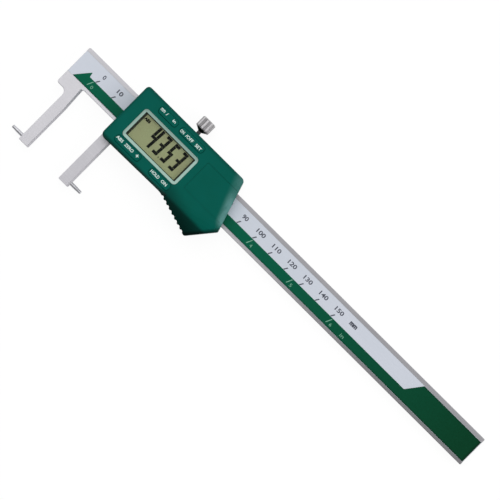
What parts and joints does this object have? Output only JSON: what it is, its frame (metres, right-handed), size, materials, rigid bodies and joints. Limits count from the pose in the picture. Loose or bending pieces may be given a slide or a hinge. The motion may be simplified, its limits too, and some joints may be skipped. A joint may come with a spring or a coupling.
{
  "type": "digital inside caliper",
  "caption": "Digital inside caliper: a flat steel beam with a printed scale, long-legged jaws with outward pins, and a plastic display housing on the slider.",
  "frame": {"origin": "middle of the outline, on the plane of the slider's back plate, with the jaws open as in the picture", "axes": "+X along the beam away from the jaws, +Y across it away from the jaw legs, +Z out of the display"},
  "size_m": [0.252, 0.0668, 0.0145],
  "materials": {
    "steel": "satin ground stainless steel",
    "pin_steel": "fine ground hardened steel",
    "dark_steel": "plain screw steel",
    "chrome": "bright plated",
    "brass": "plain",
    "green_plastic": "smooth dark green moulding",
    "green_print": "green print",
    "silver_film": "silver printed film",
    "pale_plastic": "pale green moulding",
    "clear_plastic": "clear window",
    "lcd": "display glass",
    "board": "circuit board laminate",
    "rubber": "plain",
    "white_plastic": "plain"
  },
  "bodies": {
    "beam": {"beam": "steel", "fixed_tip": "pin_steel", "scale_stator": "board", "scale_label": "silver_film", "label_green_field": "green_print", "end_stop": "dark_steel", "end_stop_screw_1": "dark_steel", "end_stop_screw_2": "dark_steel"},
    "slider": {"slider_frame": "steel", "sliding_tip": "pin_steel", "gib_strip": "brass", "gib_screw_1": "dark_steel", "gib_screw_2": "dark_steel", "back_plate": "steel", "back_screw_1": "dark_steel", "back_screw_2": "dark_steel", "back_screw_3": "dark_steel", "back_screw_4": "dark_steel", "housing": "green_plastic", "lcd_bezel": "pale_plastic", "lcd_window": "clear_plastic", "lcd_panel": "lcd", "lcd_holder": "white_plastic", "lcd_connector": "rubber", "circuit_board": "board", "processor": "rubber", "units_key_dome": "steel", "power_key_dome": "steel", "zero_key_dome": "steel", "hold_key_dome": "steel", "battery": "chrome", "battery_contact_base": "steel", "battery_contact_side": "steel"},
    "battery_cover": {"battery_cover": "green_plastic"},
    "units_key": {"units_key": "green_plastic"},
    "power_key": {"power_key": "green_plastic"},
    "zero_key": {"zero_key": "green_plastic"},
    "hold_key": {"hold_key": "green_plastic"},
    "lock_shoe": {"lock_shoe": "brass"},
    "lock_screw": {"lock_screw": "chrome"}
  },
  "joints": [
    {"name": "slider_slide", "type": "slide", "parent": "beam", "child": "slider", "axis": [1, 0, 0], "range_m": [-0.0193, 0.1495]},
    {"name": "battery_cover_slide", "type": "slide", "parent": "slider", "child": "battery_cover", "axis": [1, 0, 0], "range_m": [0, 0.0126]},
    {"name": "units_key_press", "type": "slide", "parent": "slider", "child": "units_key", "axis": [0, 0, -1], "range_m": [0, 0.0004], "stiffness_N_per_m": 1500, "springref_m": -0.0002},
    {"name": "power_key_press", "type": "slide", "parent": "slider", "child": "power_key", "axis": [0, 0, -1], "range_m": [0, 0.0004], "stiffness_N_per_m": 1500, "springref_m": -0.0002},
    {"name": "zero_key_press", "type": "slide", "parent": "slider", "child": "zero_key", "axis": [0, 0, -1], "range_m": [0, 0.0004], "stiffness_N_per_m": 1500, "springref_m": -0.0002},
    {"name": "hold_key_press", "type": "slide", "parent": "slider", "child": "hold_key", "axis": [0, 0, -1], "range_m": [0, 0.0004], "stiffness_N_per_m": 1500, "springref_m": -0.0002},
    {"name": "lock_advance", "type": "slide", "parent": "slider", "child": "lock_shoe", "axis": [0, 1, 0], "range_m": [-0.00025, 0.0005]},
    {"name": "lock_turn", "type": "hinge", "parent": "lock_shoe", "child": "lock_screw", "pos_m": [-0.06395, 0, 0.0039], "axis": [0, 1, 0], "range_deg": [-180, 360]}
  ],
  "couplings": [
    {"joint": "lock_turn", "follows": "lock_advance", "rad_per_m": 12566}
  ]
}
